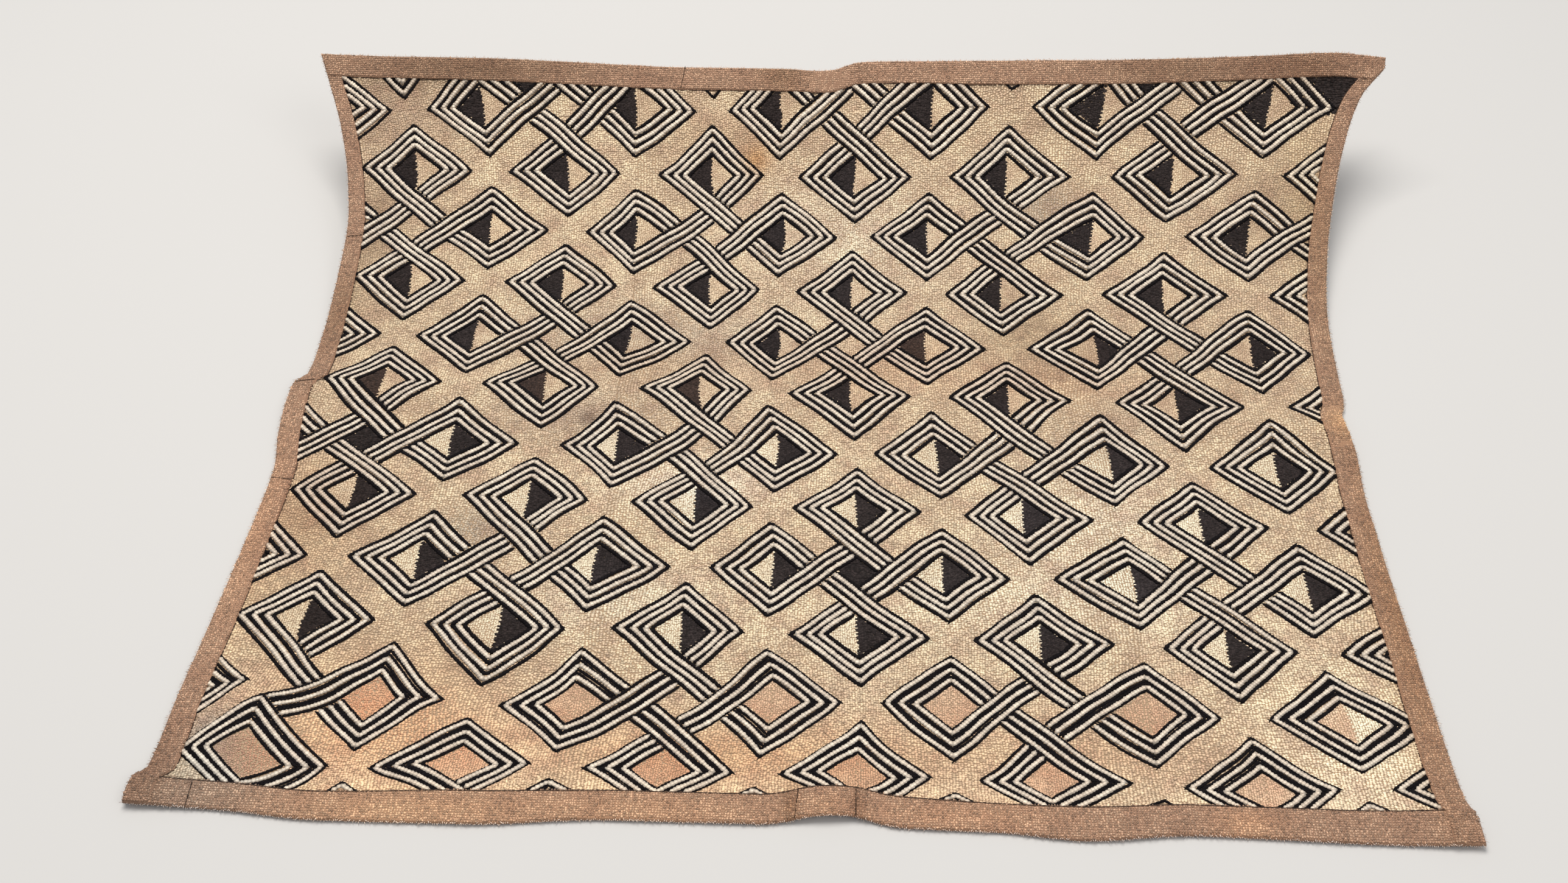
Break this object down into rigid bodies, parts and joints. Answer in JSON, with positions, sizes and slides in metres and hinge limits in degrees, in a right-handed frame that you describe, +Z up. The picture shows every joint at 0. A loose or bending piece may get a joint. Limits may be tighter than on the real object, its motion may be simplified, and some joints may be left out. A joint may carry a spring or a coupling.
{
  "type": "kuba raffia cloth",
  "caption": "Near-rectangular panel of embroidered raffia cloth with folded, sewn hems, lying flat at its front and curling up at its back.",
  "frame": {"origin": "on the resting plane, under the middle of the cloth's box", "axes": "+X to the right along the cloth's width, +Y from its flat front edge to its curled back edge, +Z up out of its embroidered face"},
  "size_m": [0.6572, 0.5122, 0.0768],
  "materials": {
    "raffia": "matt woven raffia with tan cut pile and black and cream embroidery"
  },
  "bodies": {
    "root": {"raffia_cloth": "raffia"}
  },
  "joints": []
}
